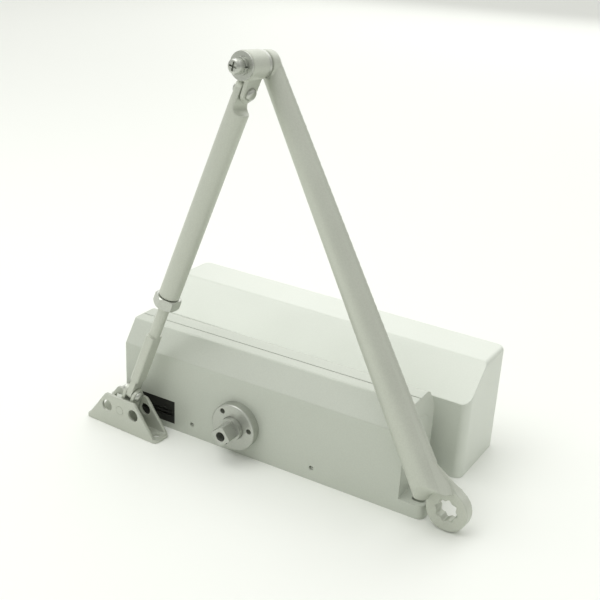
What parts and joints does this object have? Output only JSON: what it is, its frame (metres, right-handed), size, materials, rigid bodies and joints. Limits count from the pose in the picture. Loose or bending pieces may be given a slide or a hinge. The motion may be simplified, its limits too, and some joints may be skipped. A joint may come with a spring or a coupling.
{
  "type": "overhead door closer with regular arm",
  "caption": "Surface-mounted hydraulic door closer with rack-and-pinion body, loose full cover and two-part scissor arm with socket head, adjustable rod and channel shoe.",
  "frame": {"origin": "middle of the closer's flat door-side face", "axes": "+X along the closer body towards its spring end, +Z away from the door-side face, -Y along the pinion out of its front end"},
  "size_m": [0.2856, 0.1472, 0.2725],
  "materials": {
    "painted_body": "satin silver paint on cast metal",
    "painted_cover": "satin silver paint on moulded plastic",
    "painted_arms": "satin silver paint on steel",
    "plated_steel": "zinc plated",
    "turned_steel": "turned and ground",
    "piston_iron": "machined iron",
    "spring_steel": "oiled spring steel",
    "bush_bronze": "sintered bronze",
    "seal_rubber": "nitrile rubber",
    "label_film": "printed film"
  },
  "bodies": {
    "closer": {"closer_body": "painted_body", "end_plug_left": "turned_steel", "end_plug_right": "turned_steel", "end_plug_seals": "seal_rubber", "pinion_cap_front": "turned_steel", "pinion_cap_rear": "turned_steel", "pinion_bearings": "turned_steel", "pinion_seals": "seal_rubber", "main_spring": "spring_steel", "label_plate": "label_film"},
    "pinion": {"pinion_shaft": "turned_steel"},
    "piston": {"piston": "piston_iron", "piston_seal": "seal_rubber", "piston_check_valve": "turned_steel"},
    "power_screw": {"power_screw": "turned_steel"},
    "spring_seat": {"spring_seat": "turned_steel"},
    "sweep_valve": {"sweep_valve": "turned_steel"},
    "latch_valve": {"latch_valve": "turned_steel"},
    "cover": {"cover": "painted_cover"},
    "main_arm": {"main_arm": "painted_arms", "elbow_screw": "plated_steel", "elbow_washers": "plated_steel", "elbow_spacer": "plated_steel"},
    "knuckle": {"knuckle": "painted_arms", "elbow_bush": "bush_bronze"},
    "forearm": {"forearm_tube": "painted_arms", "forearm_tongue": "painted_arms", "tube_insert": "plated_steel", "knuckle_rivet": "plated_steel", "rivet_spacer": "plated_steel"},
    "jam_nut": {"jam_nut": "plated_steel"},
    "rod": {"adjusting_rod": "painted_arms"},
    "shoe_knuckle": {"shoe_knuckle": "painted_arms", "shoe_knuckle_rivet": "plated_steel"},
    "shoe": {"shoe": "painted_arms", "shoe_pivot_rivet": "plated_steel"}
  },
  "joints": [
    {"name": "piston_slide", "type": "slide", "parent": "closer", "child": "piston", "axis": [1, 0, 0], "range_m": [0, 0.02827], "deforming": ["main_spring"]},
    {"name": "pinion_turn", "type": "hinge", "parent": "closer", "child": "pinion", "pos_m": [-0.0125, 0, 0.02265], "axis": [0, 1, 0], "range_deg": [0, 180]},
    {"name": "power_screw_turn", "type": "hinge", "parent": "closer", "child": "power_screw", "pos_m": [0.109, 0, 0.04], "axis": [1, 0, 0], "range_deg": [0, 2160]},
    {"name": "spring_seat_slide", "type": "slide", "parent": "closer", "child": "spring_seat", "axis": [-1, 0, 0], "range_m": [0, 0.0075], "deforming": ["main_spring"]},
    {"name": "sweep_valve_turn", "type": "hinge", "parent": "closer", "child": "sweep_valve", "pos_m": [-0.0506, -0.0227, 0.00935], "axis": [0, -1, 0], "range_deg": [0, 720]},
    {"name": "latch_valve_turn", "type": "hinge", "parent": "closer", "child": "latch_valve", "pos_m": [0.0459, -0.0227, 0.00935], "axis": [0, -1, 0], "range_deg": [0, 720]},
    {"name": "cover_lift", "type": "slide", "parent": "closer", "child": "cover", "axis": [0, 0, 1], "range_m": [0, 0.1]},
    {"name": "arm_set_lift", "type": "slide", "parent": "closer", "child": "main_arm", "axis": [0, 0, 1], "range_m": [0, 0.12]},
    {"name": "elbow_turn", "type": "hinge", "parent": "main_arm", "child": "knuckle", "pos_m": [-0.00796, 0.00125, 0.26185], "axis": [-0.0783, -0.9955, 0.0534], "range_deg": [-130, 8]},
    {"name": "elbow_pitch", "type": "hinge", "parent": "knuckle", "child": "forearm", "pos_m": [-0.01254, -0.02471, 0.2478], "axis": [0.9397, -0.0916, -0.3294], "range_deg": [-22, 0]},
    {"name": "jam_nut_turn", "type": "hinge", "parent": "forearm", "child": "jam_nut", "pos_m": [-0.01254, -0.02471, 0.2478], "axis": [0.3351, 0.0564, 0.9405], "range_deg": [0, 720]},
    {"name": "rod_adjust", "type": "slide", "parent": "forearm", "child": "rod", "axis": [0.3351, 0.0564, 0.9405], "range_m": [-0.012, 0.02]},
    {"name": "shoe_pitch", "type": "hinge", "parent": "rod", "child": "shoe_knuckle", "pos_m": [-0.09049, -0.03782, 0.02905], "axis": [0.9418, -0.0494, -0.3326], "range_deg": [-45, 6]},
    {"name": "shoe_turn", "type": "hinge", "parent": "shoe_knuckle", "child": "shoe", "pos_m": [-0.0966, -0.0375, 0.0153], "axis": [-0.0523, -0.9986, 0], "range_deg": [-45, 45]}
  ],
  "couplings": [
    {"joint": "pinion_turn", "follows": "piston_slide", "rad_per_m": 111.11},
    {"joint": "power_screw_turn", "follows": "spring_seat_slide", "rad_per_m": 5026.5}
  ]
}
